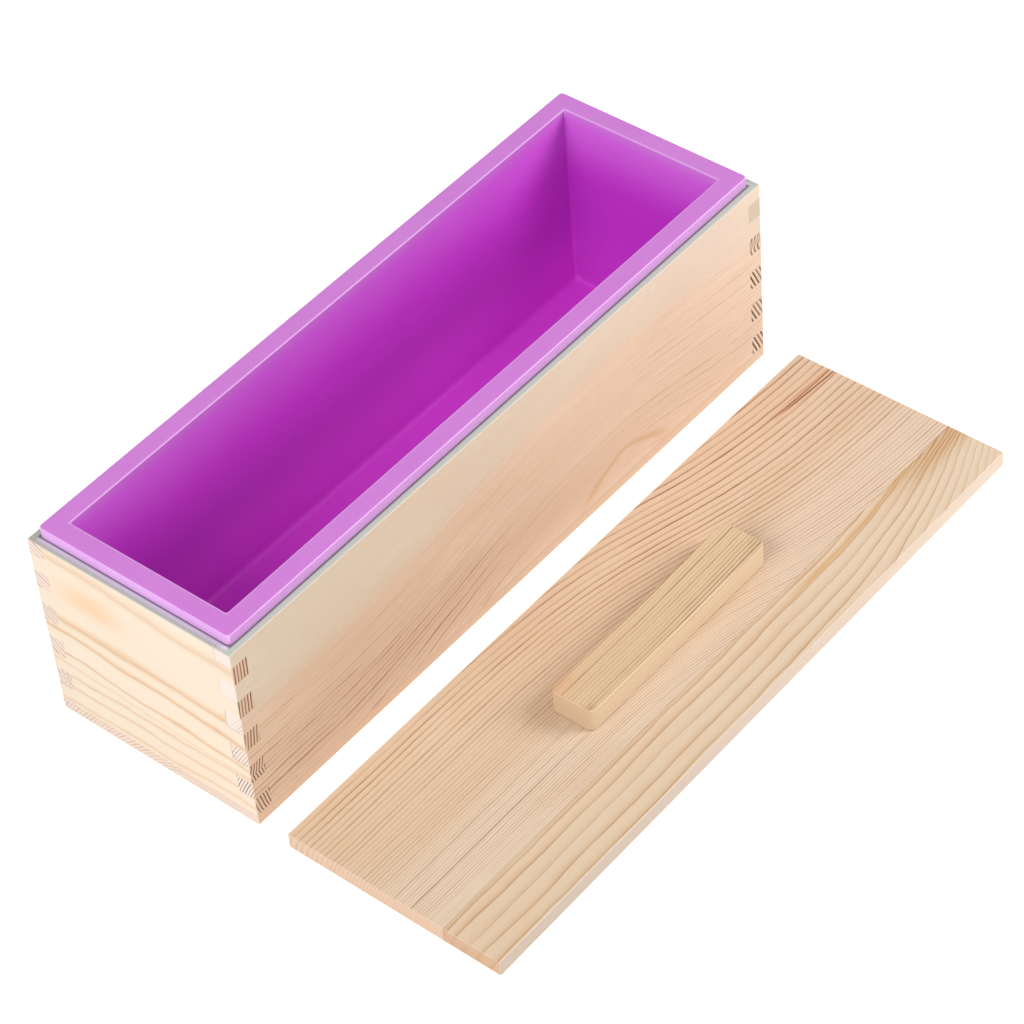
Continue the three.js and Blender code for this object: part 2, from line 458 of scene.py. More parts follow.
def left_rings(t, along, across, depth):
    """End board whose face runs almost along the rings. They crest a quarter of the way up."""
    above = t.math("MAXIMUM", t.sub(across, LEFT_CREST), 0.0)
    below = t.math("MAXIMUM", t.sub(LEFT_CREST, across), 0.0)
    drop_above = t.mul(t.sub(1.0, t.math("EXPONENT", t.div(above, -19.0))), 4.25)
    drop = t.add(drop_above, t.div(below, 6.0))
    return t.add(t.sub(t.div(depth, LEFT_RING), drop), LEFT_FIRST_RING)


def left_marks(t, along, across, depth, rings):
    """Orange bands where rings break through the face, and a soft orange blotch."""
    side = t.add(t.div(along, 2 * END_HALF), 0.5)
    for start, end, thick, strength in LEFT_BANDS:
        from_middle = t.sub(across, t.add(t.mul(side, end - start), start))
        yield t.mul(t.bell(from_middle, 0.0, thick), strength), BAND_TONE
        yield t.mul(t.bell(from_middle, -0.3 * thick, 0.4 * thick), 0.5 * strength), BAND_CORE
    wide = t.bell(along, -20.0, 13.0)
    tall = t.bell(across, 65.0, 4.5)
    yield t.mul(t.mul(wide, tall), 0.5), srgb(226, 176, 116)


RIGHT_RING = 2.0
RIGHT_TURN = 56.0
HOOK_START = 55.0
HOOK_HEIGHT = 4.0


def right_rings(t, along, across, depth):
    """Slanting rings that turn over to form hooks below the plain wood at the top."""
    slant = t.mul(t.hypot(t.sub(across, RIGHT_TURN), 2.4), 0.5)
    above = t.math("MAXIMUM", t.sub(across, HOOK_START), 0.0)
    above = t.math("MINIMUM", above, HOOK_HEIGHT)
    hook = t.mul(t.mul(above, above), 0.35)
    return t.div(t.add(depth, t.add(slant, hook)), RIGHT_RING)


def right_zone(t, along, across, depth, rings):
    """The right end's uppermost wood, where hardly any rings show."""
    return t.rise(across, 61.0, 66.0)


BASE_RING = 1.35
BASE_PITH_ASIDE = 30.0
BASE_PITH_BELOW = 45.0


def base_rings(t, along, across, depth):
    radius = t.hypot(t.add(across, BASE_PITH_ASIDE), t.add(depth, BASE_PITH_BELOW))
    return t.div(radius, BASE_RING)


SWEEP_PLACE = 42.0
SWEEP_LENGTH = 26.0
SWEEP_ASIDE = 30.0


def wide_rings(t, along, across, depth):
    """Quarter-sawn wide board: straight at one end, then sweeping sideways, and finer inwards."""
    before = t.math("EXPONENT", t.div(t.sub(SWEEP_PLACE, along), SWEEP_LENGTH))
    drift = t.div(SWEEP_ASIDE, t.add(1.0, before))
    row = t.add(t.sub(across, drift), t.mul(depth, 0.35))
    inward = t.math("MAXIMUM", row, 0.0)
    return t.add(t.mul(row, 0.34), t.mul(t.mul(inward, inward), 0.0054))


def wide_calm(t, along, across, depth, rings):
    """The rings are darkest near one edge, towards the far end, and paler at the near end."""
    edge = t.rise(across, 10.0, 34.0, 1.0, 0.0)
    plain = t.rise(along, -110.0, -20.0, 0.86, 0.94)
    return t.add(plain, t.mul(t.rise(along, 0.0, 60.0, 0.0, 0.6), edge))


def wide_zone(t, along, across, depth, rings):
    """The paler wood towards the seam."""
    return t.rise(across, 34.0, 52.0)


RESIN_PLACE = 126.0
RESIN_ACROSS = 14.9
RESIN_SLOPE = 0.075

# Thin strokes beside the resin streak: how far from it, and where along the board.
RESIN_STROKES = ((-2.3, 126.0), (-1.1, 114.0), (1.4, 132.0))

# The two strongest lines at the near end: where across the board, and how strong.
STRONG_LINES = ((45.9, 0.30), (52.9, 0.42))


def wide_marks(t, along, across, depth, rings):
    """A dark resin streak at the far end, and two strong lines at the near end."""
    path = t.add(RESIN_ACROSS, t.mul(t.sub(along, RESIN_PLACE), RESIN_SLOPE))
    from_path = t.sub(across, path)
    skin = t.rise(depth, 1.0, 3.0, 1.0, 0.0)
    glow = t.mul(t.bell(from_path, -1.2, 3.2), t.rise(along, 92.0, 128.0))
    yield t.mul(t.mul(glow, skin), 0.24), srgb(218, 142, 84)
    streak = t.mul(t.bell(from_path, 0.0, 0.4), t.rise(along, 106.0, 120.0))
    yield t.mul(t.mul(streak, skin), 0.9), srgb(118, 56, 24)
    for beside, place in RESIN_STROKES:
        thin = t.mul(t.bell(from_path, beside, 0.25), t.bell(along, place, 9.0))
        yield t.mul(t.mul(thin, skin), 0.6), srgb(160, 84, 40)
    for place, strength in STRONG_LINES:
        line = t.mul(t.bell(across, place, 0.35), t.rise(along, -90.0, -20.0, 1.0, 0.0))
        yield t.mul(line, strength), srgb(140, 92, 58)


def narrow_rings(t, along, across, depth):
    """Narrow board: wide straight rings that crowd together and climb to the seam at one end."""
    inward = t.add(across, t.mul(depth, 0.4))
    end = t.math("MAXIMUM", t.div(t.add(along, 1.5), 143.0), 0.0)
    climb = t.mul(t.math("POWER", end, 5.4), 2.72)
    crowding = t.mul(t.mul(t.math("POWER", end, 3.2), 0.235), inward)
    first = t.mul(t.bell(inward, 1.5, 2.5), -0.25)
    straight = t.add(t.add(t.mul(inward, 0.182), 0.91), first)
    return t.add(straight, t.add(climb, crowding))


def narrow_calm(t, along, across, depth, rings):
    """The third ring is paler than the others, and all of them are fainter where they crowd."""
    third = t.mul(t.bell(rings, 3.0, 0.45), 0.4)
    return t.mul(t.sub(1.0, third), t.rise(rings, 5.6, 7.5, 1.0, 0.7))


def narrow_marks(t, along, across, depth, rings):
    """Orange wood by the seam, and dark streaks where the rings crowd together."""
    skin = t.rise(depth, 1.0, 4.0, 1.0, 0.3)
    band = t.mul(t.rise(rings, 1.05, 1.5), t.rise(rings, 1.7, 2.0, 1.0, 0.0))
    streaky = t.noise(t.vector(t.div(along, 24.0), t.mul(rings, 5.0), 0.0), 3.0)
    first = t.mul(band, t.rise(along, 10.0, 62.0, 0.12, 0.85))
    first = t.mul(first, t.rise(streaky, -0.2, 0.2, 0.35, 1.0))
    yield t.mul(first, skin), srgb(212, 162, 104)
    corner = t.mul(t.rise(along, 92.0, 130.0), t.rise(across, 4.0, 12.0, 1.0, 0.0))
    yield t.mul(t.mul(corner, skin), 0.55), srgb(206, 152, 90)
    dark = t.bell(t.math("FRACT", t.mul(rings, 1.6)), 0.5, 0.14)
    yield t.mul(t.mul(t.mul(corner, skin), dark), 0.6), srgb(152, 96, 48)


HANDLE_RING = 1.38


def handle_rings(t, along, across, depth):
    """Nearly straight rings, tilted into the bar."""
    climb = t.mul(t.rise(along, -10.0, 48.0), 1.2)
    return t.div(t.add(t.add(across, climb), t.mul(depth, 0.5)), HANDLE_RING)


def handle_calm(t, along, across, depth, rings):
    """The rings are darkest towards one end."""
    return t.rise(along, -30.0, 30.0, 0.8, 1.15)


def handle_marks(t, along, across, depth, rings):
    """Orange at one end, and brown end grain showing at the corner below it."""
    glow = t.mul(t.rise(along, -46.0, -30.0, 1.0, 0.0), t.bell(across, 2.0, 4.0))
    yield t.mul(glow, 0.3), srgb(222, 150, 100)
    corner = t.mul(t.rise(along, -47.2, -44.0, 1.0, 0.0), t.rise(across, 13.5, 16.5))
    yield t.mul(corner, 0.4), srgb(176, 128, 86)


# The rim tones: grey-green wood, painted lilac light from the flange, and a painted shadow under
# it.
RIM_TONES = {"rim": (190, 203, 192), "rim_painted_lilac_light": (238, 222, 246), "rim_shadow": (96, 88, 92)}


def board(**own):
    """What pine() needs to know of one board: its own values over the usual ones.

    sway and ripple are (amount, length, width) of the rings' slow bends and small waves, line is
    (softness of the shade, start of the line, the line's part of the darkness), stroke is (length,
    weakest) of the strokes that a ring's line breaks into, side is how far the side tones cover the
    long narrow faces, and end_line is (start, contrast).
    """
    usual = {
        "calm": everywhere,
        "zone": nowhere,
        "zone_rings": 1.0,
        "marks": unmarked,
        "side": 0.0,
        "sway": (2.4, 75.0, 26.0),
        "ripple": (0.8, 15.0, 3.6),
        "line": (2.2, 0.62, 0.65),
        "faintest": 0.3,
        "stroke": (28.0, 0.5),
        "blotches": 0.3,
        "contrast": 0.6,
        "end_line": (0.45, 0.7),
        "fibre": 0.10,
    }
    usual.update(own)
    return usual


BOARDS = {
    "front_wall": board(
        axes=((0, 1, 0.0), (2, 1, 0.0), (1, 1, -BOX_HALF_WIDTH)),
        length=(-150.0, 150.0),
        rings=front_rings,
        calm=front_calm,
        zone=sapwood,
        zone_rings=0.2,
        marks=front_marks,
        seed=3.0,
        ripple=(1.6, 13.0, 4.0),
        line=(1.6, 0.5, 0.55),
        faintest=0.2,
        stroke=(26.0, 0.15),
        blotches=0.18,
        contrast=1.05,
        end_line=(0.5, 0.8),
        fibre=0.2,
        tones=tones(
            (210, 179, 153), (227, 197, 174), (160, 110, 74),
            zone_near=(205, 187, 166), zone_far=(219, 197, 179), warm=(206, 166, 132),
            end=(226, 210, 196), end_late=(128, 98, 92), zone_end=(229, 213, 204), **RIM_TONES),
    ),
    "back_wall": board(
        axes=((0, 1, 0.0), (2, 1, 0.0), (1, -1, BOX_HALF_WIDTH)),
        length=(-150.0, 150.0),
        rings=back_rings,
        seed=11.0,
        ripple=(1.2, 13.0, 4.0),
        line=(1.8, 0.55, 0.6),
        stroke=(20.0, 0.2),
        faintest=0.3,
        contrast=0.75,
        end_line=(0.45, 0.6),
        tones=tones(
            (222, 193, 164), (226, 198, 170), (164, 110, 72),
            end=(230, 210, 196), end_late=(146, 106, 94), **RIM_TONES),
    ),
    "left_end": board(
        axes=((1, -1, 0.0), (2, 1, 0.0), (0, 1, -BOX_HALF_LENGTH)),
        length=(-50.0, 50.0),
        rings=left_rings,
        marks=left_marks,
        seed=5.0,
        sway=(5.6, 32.0, 11.0),
        ripple=(1.4, 9.0, 5.0),
        faintest=0.6,
        blotches=0.2,
        contrast=0.0,
        end_line=(0.48, 0.9),
        fibre=0.06,
        tones=tones(
            (225, 209, 189), (224, 207, 187), (190, 140, 84), warm=(226, 202, 172),
            pale=(236, 220, 204), end=(208, 178, 152), end_late=(108, 54, 36), **RIM_TONES),
    ),
    "right_end": board(
        axes=((1, 1, 0.0), (2, 1, 0.0), (0, -1, BOX_HALF_LENGTH)),
        length=(-50.0, 50.0),
        rings=right_rings,
        zone=right_zone,
        zone_rings=0.1,
        seed=23.0,
        sway=(1.6, 75.0, 26.0),
        faintest=0.5,
        contrast=0.6,
        end_line=(0.48, 1.0),
        fibre=0.08,
        tones=tones(
            (224, 200, 172), (226, 202, 174), (176, 124, 82), end=(224, 194, 168),
            end_late=(74, 32, 20), zone_end=(204, 184, 162), **RIM_TONES),
    ),
    "base_board": board(
        axes=((0, 1, 0.0), (1, 1, 0.0), (2, 1, 0.0)),
        length=(-150.0, 150.0),
        rings=base_rings,
        seed=31.0,
        sway=(2.0, 75.0, 26.0),
        contrast=0.95,
        end_line=(0.5, 0.4),
        tones=tones(
            (204, 172, 146), (216, 186, 160), (150, 100, 68), end=(222, 202, 186),
            end_late=(160, 128, 112)),
    ),
    "lid_wide_board": board(
        axes=((0, 1, LID_MIDDLE), (1, -1, WIDE_HIGH.y), (2, -1, LID_TOP)),
        length=(-140.0, 140.0),
        rings=wide_rings,
        calm=wide_calm,
        zone=wide_zone,
        marks=wide_marks,
        seed=41.0,
        sway=(1.4, 75.0, 26.0),
        ripple=(0.7, 14.0, 3.6),
        line=(3.0, 0.66, 0.6),
        faintest=0.5,
        contrast=0.92,
        end_line=(0.5, 0.16),
        fibre=0.16,
        tones=tones(
            (223, 196, 167), (229, 199, 171), (146, 88, 42), zone_near=(228, 206, 181),
            zone_far=(232, 207, 182), end=(216, 184, 158)),
    ),
    "lid_narrow_board": board(
        axes=((0, 1, LID_MIDDLE), (1, -1, NARROW_HIGH.y), (2, -1, LID_TOP)),
        length=(-140.0, 140.0),
        rings=narrow_rings,
        calm=narrow_calm,
        marks=narrow_marks,
        side=0.9,
        seed=53.0,
        sway=(3.4, 46.0, 14.0),
        ripple=(0.8, 13.0, 4.0),
        line=(3.2, 0.84, 0.35),
        faintest=0.8,
        stroke=(40.0, 0.7),
        blotches=0.2,
        contrast=0.8,
        end_line=(0.6, 0.1),
        fibre=0.12,
        tones=tones(
            (224, 200, 172), (231, 209, 183), (180, 124, 50), pale=(230, 212, 190),
            side_near=(190, 173, 159), side_far=(215, 195, 177), end=(202, 165, 134)),
    ),
    "lid_handle": board(
        axes=((0, 1, LID_MIDDLE), (1, -1, HANDLE_HIGH.y), (2, -1, HANDLE_HIGH.z)),
        length=(-50.0, 50.0),
        rings=handle_rings,
        calm=handle_calm,
        marks=handle_marks,
        side=0.75,
        seed=67.0,
        sway=(1.6, 60.0, 20.0),
        ripple=(0.5, 9.0, 3.0),
        line=(1.3, 0.35, 0.6),
        faintest=0.35,
        stroke=(22.0, 0.45),
        blotches=0.2,
        contrast=0.9,
        end_line=(0.6, 0.12),
        fibre=0.16,
        tones=tones(
            (224, 194, 157), (228, 199, 162), (122, 80, 42), warm=(218, 178, 128),
            pale=(234, 212, 176), side_near=(230, 205, 174), side_far=(230, 205, 174),
            end=(216, 188, 158), end_late=(150, 106, 74)),
    ),
}

# ---------------------------------------------------------------- silicone and steel

FLANGE_REACH = 7.55
CLOUD_SIZE = 30.0
SPECK_SIZE = 0.8
# Painted highlight along the liner's rounded edges.
PAINTED_EDGE_HIGHLIGHT = srgb(238, 196, 244)
# Light lilac specks: dust, and on the flange a painted sheen.
DUST_AND_SHEEN = srgb(232, 180, 240)


def silicone(name):
    """Purple silicone: deep inside the mould with painted shade, and lighter on the flange outside
    it with a painted sheen and dust specks.
    """
    tree = Tree(name)
    x, y, z = tree.place()
    facing = tree.facing()
    cloudy = tree.noise(tree.vector(*(tree.div(part, CLOUD_SIZE) for part in (x, y, z))), 3.0)
    speck = tree.noise(tree.vector(*(tree.div(part, SPECK_SIZE) for part in (x, y, z))), 2.0)
    past_end = tree.sub(tree.math("ABSOLUTE", x), LINER_HIGH.x - FLANGE_REACH)
    past_side = tree.sub(tree.math("ABSOLUTE", y), LINER_HIGH.y - FLANGE_REACH)
    past_lip = tree.math("MAXIMUM", past_end, past_side)
    outside = tree.rise(past_lip, -0.15, 0.15)

    inside = inside_colour(tree, x, z, facing, cloudy)
    colour = tree.mix(outside, inside, outside_colour(tree, z, facing, cloudy))
    # Painted highlight on the rounded edges above the rim, where they would catch light.
    edge = tree.rise(tree.biggest(facing), 0.75, 0.97, 0.75, 0.0)
    edge = tree.mul(edge, tree.rise(z, RIM_Z, RIM_Z + 2.0))
    colour = tree.mix(edge, colour, PAINTED_EDGE_HIGHLIGHT)
    # A thin painted highlight along the opening's lip.
    near_top = tree.rise(z, LINER_HIGH.z - 0.6, LINER_HIGH.z - 0.2)
    lip_highlight = tree.mul(tree.bell(past_lip, 0.3, 0.25), near_top)
    colour = tree.mix(tree.mul(lip_highlight, 0.6), colour, PAINTED_EDGE_HIGHLIGHT)
    # Specks of dust, stronger on the flange where they also stand in for its sheen as painted
    # light.
    dust_and_sheen = tree.mul(tree.rise(speck, 0.0, 0.35, 0.0, 0.22), tree.rise(outside, 0.0, 1.0, 0.15, 1.0))
    colour = tree.mix(dust_and_sheen, colour, DUST_AND_SHEEN)

    tree.put(tree.shader.inputs["Base Color"], colour)
    tree.put(tree.shader.inputs["Roughness"], tree.rise(cloudy, -0.3, 0.3, 0.40, 0.52))
    tree.shader.inputs["IOR"].default_value = 1.41
    tree.shader.inputs["Subsurface Weight"].default_value = 0.2
    tree.shader.inputs["Subsurface Radius"].default_value = (1.0, 0.35, 1.0)
    tree.shader.inputs["Subsurface Scale"].default_value = 2.0 * MM
    tree.shader.inputs["Sheen Weight"].default_value = 0.1
    tree.bump(tree.add(tree.mul(cloudy, 2.0), tree.mul(speck, 0.15)), 0.12, 0.5)
    return tree.material


def inside_colour(tree, x, z, facing, cloudy):
    """The cavity, its tones painted light and shade: bright on the floor, deepest above it,
    lightest at the top, and toned apart on the end walls and towards the far end.
    """
    height = tree.add(z, tree.mul(cloudy, 5.0))
    # The tones by facing and towards the far end are painted light and shade for how the lamps
    # reach the end walls.
    on_end = tree.rise(facing[0], 0.5, 0.9)
    far_end = tree.rise(x, 65.0, 120.0)
    floor = tree.mix(on_end, srgb(236, 78, 233), srgb(208, 64, 210))
    middle = tree.mix(far_end, srgb(196, 49, 200), srgb(213, 58, 217))
    middle = tree.mix(on_end, middle, srgb(200, 55, 206))
    top = tree.mix(on_end, srgb(214, 99, 221), srgb(228, 118, 236))
    colour = tree.mix(tree.rise(height, 14.0, 44.0), floor, middle)
    return tree.mix(tree.rise(height, 56.0, 88.0), colour, top)


def outside_colour(tree, z, facing, cloudy):
    """The flange's top and sides, lit and shaded by facing as painted light, and the deeper skirt
    under it.
    """
    # Painted light: sides facing X lighter than those facing Y, and the top lighter with a painted
    # sheen.
    sides = tree.mix(tree.rise(facing[1], 0.3, 0.9), srgb(219, 168, 230), srgb(200, 144, 208))
    colour = tree.mix(tree.rise(facing[2], 0.3, 0.9), sides, srgb(213, 131, 219))
    colour = tree.mix(tree.rise(cloudy, -0.2, 0.3, 0.0, 0.3), colour, srgb(202, 112, 208))
    skirt = tree.rise(z, RIM_Z - 1.5, RIM_Z - 0.5, 1.0, 0.0)
    return tree.mix(skirt, colour, srgb(194, 98, 204))


def steel(name):
    """Zinc-plated steel, brushed round each fastener and slightly stained."""
    tree = Tree(name)
    x, y, z = tree.place()
    from_x = tree.sub(x, tree.math("ROUND", x))
    from_y = tree.sub(y, tree.math("ROUND", y))
    around = tree.math("ARCTAN2", from_y, from_x)
    brushed = tree.noise(tree.vector(tree.mul(around, 3.0), tree.div(z, 0.1), 0.0), 3.0)
    stain = tree.noise(tree.vector(tree.div(x, 1.2), tree.div(y, 1.2), tree.div(z, 1.2)), 3.0)
    colour = tree.mix(tree.rise(stain, -0.1, 0.3), srgb(206, 206, 202), srgb(168, 160, 146))
    tree.put(tree.shader.inputs["Base Color"], colour)
    tree.put(tree.shader.inputs["Roughness"], tree.rise(brushed, -0.3, 0.3, 0.25, 0.45))
    tree.shader.inputs["Metallic"].default_value = 1.0
    tree.bump(brushed, 0.02, 0.4)
    return tree.material


# ---------------------------------------------------------------- mesh tools

EASED = 0.5
JOINT_EASED = 0.04
JOINT_SLACK = 0.05
BEVEL_SEGMENTS = 3
WEIGHT_LAYER = "bevel_weight_edge"


def link_mesh(name, bm):
    bmesh.ops.recalc_face_normals(bm, faces=bm.faces)
    mesh = bpy.data.meshes.new(name)
    bm.to_mesh(mesh)
    bm.free()
    for polygon in mesh.polygons:
        polygon.use_smooth = True
    piece = bpy.data.objects.new(name, mesh)
    bpy.context.scene.collection.objects.link(piece)
    return piece


def prism(outline, low, high, to_space):
    """A solid between two levels over an outline. to_space turns (u, v, level) into X, Y, Z."""
    bm = bmesh.new()
    lower = [bm.verts.new(to_space(u, v, low)) for u, v in outline]
    upper = [bm.verts.new(to_space(u, v, high)) for u, v in outline]
    bm.faces.new(lower)
    bm.faces.new(upper)
    count = len(outline)
    for i in range(count):
        j = (i + 1) % count
        bm.faces.new((lower[i], lower[j], upper[j], upper[i]))
    return bm


def weigh_edges(bm, weight_of):
    layer = bm.edges.layers.float.new(WEIGHT_LAYER)
    for edge in bm.edges:
        middle = (edge.verts[0].co + edge.verts[1].co) / 2 / MM
        edge[layer] = weight_of(middle, edge)


def ease(piece, width=EASED):
    bevel = piece.modifiers.new("eased", "BEVEL")
    bevel.limit_method = "WEIGHT"
    bevel.width = width * MM
    bevel.segments = BEVEL_SEGMENTS
    bevel.use_clamp_overlap = False


def smooth(piece):
    """Applies what is on the piece, then shades its flat faces flat and its small curves round."""
    apply_modifiers(piece)
    piece.data.set_sharp_from_angle(angle=math.radians(40))
    normals = piece.modifiers.new("even_shading", "WEIGHTED_NORMAL")
    normals.keep_sharp = True


def planes_touched(point, low, high, slack=0.15):
    """On how many of a box's six planes a point lies."""
    touched = 0
    for axis in range(3):
        touched += abs(point[axis] - low[axis]) < slack
        touched += abs(point[axis] - high[axis]) < slack
    return touched


def stand_for(piece, node, body, material):
    smooth(piece)
    piece.data.materials.append(material)
    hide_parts(node)
    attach(piece, body)
    return piece


# ---------------------------------------------------------------- box pieces

FINGER_PITCH = 7.9
FINGER_COUNT = 10
FINGER_SET = 0.12
FINGER_GAP = 0.02
OUTER_LOW = Vector((-BOX_HALF_LENGTH, -BOX_HALF_WIDTH, 0.0))
OUTER_HIGH = Vector((BOX_HALF_LENGTH, BOX_HALF_WIDTH, RIM_Z))


def finger_outline(half, first_finger, gap, rng):
    """A wall's outline, (along, height). Fingers fill every other slot, and the gap thins them."""
    levels = [BASE_TOP + slot * FINGER_PITCH for slot in range(FINGER_COUNT)] + [RIM_Z]
    shoulder = half - WALL_THICKNESS - FINGER_GAP
    right = []
    for slot in range(FINGER_COUNT):
        is_finger = slot % 2 == first_finger
        reach = half - rng.uniform(0.0, FINGER_SET) if is_finger else shoulder
        inset = gap if is_finger else -gap
        lower = levels[slot]
        upper = levels[slot + 1]
        if slot > 0:
            lower += inset
        if slot < FINGER_COUNT - 1:
            upper -= inset
        right += [(reach, lower), (reach, upper)]
    left = [(-reach, height) for reach, height in reversed(right)]
    return right + left


def wall(node, half, first_finger, gap, thickness_axis, low, high, seed):
    """A finger-jointed wall that reaches half to each side and lies between low and high."""
    outline = finger_outline(half, first_finger, gap, random.Random(seed))

    def to_space(u, v, level):
        return Vector((u, level, v) if thickness_axis == 1 else (level, u, v)) * MM

    def weight(middle, edge):
        outside = planes_touched(middle, OUTER_LOW, OUTER_HIGH) >= 2
        return 1.0 if outside else JOINT_EASED / EASED

    bm = prism(outline, low, high, to_space)
    weigh_edges(bm, weight)
    piece = link_mesh("pine_" + node, bm)
    ease(piece)
    return stand_for(piece, node, "box", pine("pine_" + node, BOARDS[node]))


def plank(node, body, joint_faces=(), holes=()):
    """A straight board with eased edges, less the holes of the fasteners that come up through it.

    Edges on a joint face, given as (axis, place), stay almost sharp.
    """
    low, high = (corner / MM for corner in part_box(node))
    outline = [(low.x, low.y), (high.x, low.y), (high.x, high.y), (low.x, high.y)]
    bm = prism(outline, low.z, high.z, lambda u, v, level: Vector((u, v, level)) * MM)

    def weight(middle, edge):
        for axis, place in joint_faces:
            if abs(middle[axis] - place) < JOINT_SLACK:
                return JOINT_EASED / EASED
        return 1.0

    weigh_edges(bm, weight)
    piece = link_mesh("pine_" + node, bm)
    ease(piece)
    drill(piece, holes)
    return stand_for(piece, node, body, pine("pine_" + node, BOARDS[node]))


def drill(piece, holes):
    """Cuts a stepped hole for each (x, y, profile); a profile lists (radius, height) upwards."""
    if not holes:
        return
    bm = bmesh.new()
    for x, y, profile in holes:
        turned(bm, x, y, profile)
    cutter = link_mesh(piece.name + "_cutter", bm)
    cut = piece.modifiers.new("holes", "BOOLEAN")
    cut.object = cutter
    cut.solver = "EXACT"
    apply_modifiers(piece)
    bpy.data.objects.remove(cutter)


def apply_modifiers(piece):
    graph = bpy.context.evaluated_depsgraph_get()
    final = bpy.data.meshes.new_from_object(piece.evaluated_get(graph))
    piece.modifiers.clear()
    piece.data = final


def turned(bm, x, y, profile, steps=24):
    """A closed turned solid about a vertical line."""
    rings = []
    for radius, height in profile:
        ring = []
        for step in range(steps):
            angle = 2 * math.pi * step / steps
            point = Vector((x + radius * math.cos(angle), y + radius * math.sin(angle), height))
            ring.append(bm.verts.new(point * MM))
        rings.append(ring)
    for lower, upper in zip(rings, rings[1:]):
        for i in range(steps):
            j = (i + 1) % steps
            bm.faces.new((lower[i], lower[j], upper[j], upper[i]))
    bm.faces.new(list(reversed(rings[0])))
    bm.faces.new(rings[-1])


OVERSHOOT = 1.0
HEAD_CLEARANCE = 0.1
BRAD_HEAD_TOP = 0.9
BRAD_SHANK_HOLE = 0.7
SCREW_RIM_TOP = 0.7
SCREW_CONE_TOP = 2.7
SCREW_SHANK_HOLE = 1.6


def holes_for(names, profile_of):
    """A hole for each named fastener, with the profile that its head's radius gives."""
    holes = []
    for name in names:
        low, high = (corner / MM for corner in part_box(name))
        head = (high.x - low.x) / 2 + HEAD_CLEARANCE
        holes.append(((low.x + high.x) / 2, (low.y + high.y) / 2, profile_of(head)))
    return holes


def brad_holes():
    box_nodes = frame["record"]["behaviour"]["bodies"]["box"]
    brads = [name for name in box_nodes if name.startswith("base_brad")]
    return holes_for(brads, lambda head: [
        (head, -OVERSHOOT),
        (head, BRAD_HEAD_TOP),
        (BRAD_SHANK_HOLE, BRAD_HEAD_TOP),
        (BRAD_SHANK_HOLE, BASE_TOP + OVERSHOOT),
    ])


def screw_holes():
    return holes_for(("handle_screw_1", "handle_screw_2"), lambda head: [
        (head, -OVERSHOOT),
        (head, SCREW_RIM_TOP),
        (SCREW_SHANK_HOLE, SCREW_CONE_TOP),
        (SCREW_SHANK_HOLE, LID_TOP + OVERSHOOT),
    ])


HANDLE_RADIUS = 2.5
HANDLE_CORNER_STEPS = 8
HANDLE_EASED = 0.55


def handle_piece():
    low, high = HANDLE_LOW, HANDLE_HIGH
    half = (high - low) / 2
    centre = (low + high) / 2
    outline = rounded_rectangle(
        half.x, half.y, HANDLE_RADIUS, HANDLE_CORNER_STEPS, centre.x, centre.y)
    bm = prism(outline, low.z, high.z, lambda u, v, level: Vector((u, v, level)) * MM)

    def weight(middle, edge):
        flat = abs(edge.verts[0].co.z - edge.verts[1].co.z) < 0.1 * MM
        return 1.0 if flat else 0.0

    weigh_edges(bm, weight)
    piece = link_mesh("pine_lid_handle", bm)
    ease(piece, HANDLE_EASED)
    return stand_for(
        piece, "lid_handle", "lid", pine("pine_lid_handle", BOARDS["lid_handle"]))


# ---------------------------------------------------------------- liner


def rounded_rectangle(half_x, half_y, radius, corner_steps, x=0.0, y=0.0, side_steps=1):
    """Points round a rectangle with arc corners, anticlockwise from the +Y end of its +X side."""
    points = []
    corners = ((1, 1, 0), (-1, 1, 90), (-1, -1, 180), (1, -1, 270))
    for sign_x, sign_y, start in corners:
        centre_x = sign_x * (half_x - radius)
        centre_y = sign_y * (half_y - radius)
        for step in range(corner_steps + 1):
            angle = math.radians(start + 90 * step / corner_steps)
            across_x = centre_x + radius * math.cos(angle)
            across_y = centre_y + radius * math.sin(angle)
            points.append((x + across_x, y + across_y))
    if side_steps == 1:
        return points
    spread = []
    per_corner = corner_steps + 1
    for i, point in enumerate(points):
        spread.append(point)
        if i % per_corner == corner_steps:
            following = points[(i + 1) % len(points)]
            for step in range(1, side_steps):
                share = step / side_steps
                spread.append(tuple(a + (b - a) * share for a, b in zip(point, following)))
    return spread


def arc(centre, radius, start, end, steps):
    """(outward, height) points along an arc, from the start angle to the end angle in degrees."""
    points = []
    for step in range(steps + 1):
        angle = math.radians(start + (end - start) * step / steps)
        points.append((centre[0] + radius * math.cos(angle), centre[1] + radius * math.sin(angle)))
    return points


UNDERSIDE_Z = LINER_LOW.z
FLANGE_UNDER = RIM_Z + 0.1

# One inset serves the ends and the long sides. The CAD has it at the ends, and 4.75 on the long
# sides, so from 4 mm below the rim upwards this skin reaches into the long walls: up to 0.1 mm
# deep, and 0.35 mm at the rim. The CAD narrows by 1 mm a side, and this skin by the taper below.
TUB_INSET = 4.15
TUB_TAPER = 2.0
FLANGE_RADIUS = 1.8
TUB_RADIUS = 4.0
OPENING_RADIUS = 1.0
FLOOR_THICKNESS = 2.9
FOOT_BEND = 2.0
FLOOR_BEND = 2.2
FLANGE_TOP_BEND = 0.55
FLANGE_UNDER_BEND = 0.3
LIP_BEND = 0.35
LINER_CORNER_STEPS = 6
LINER_SIDE_STEPS = 12


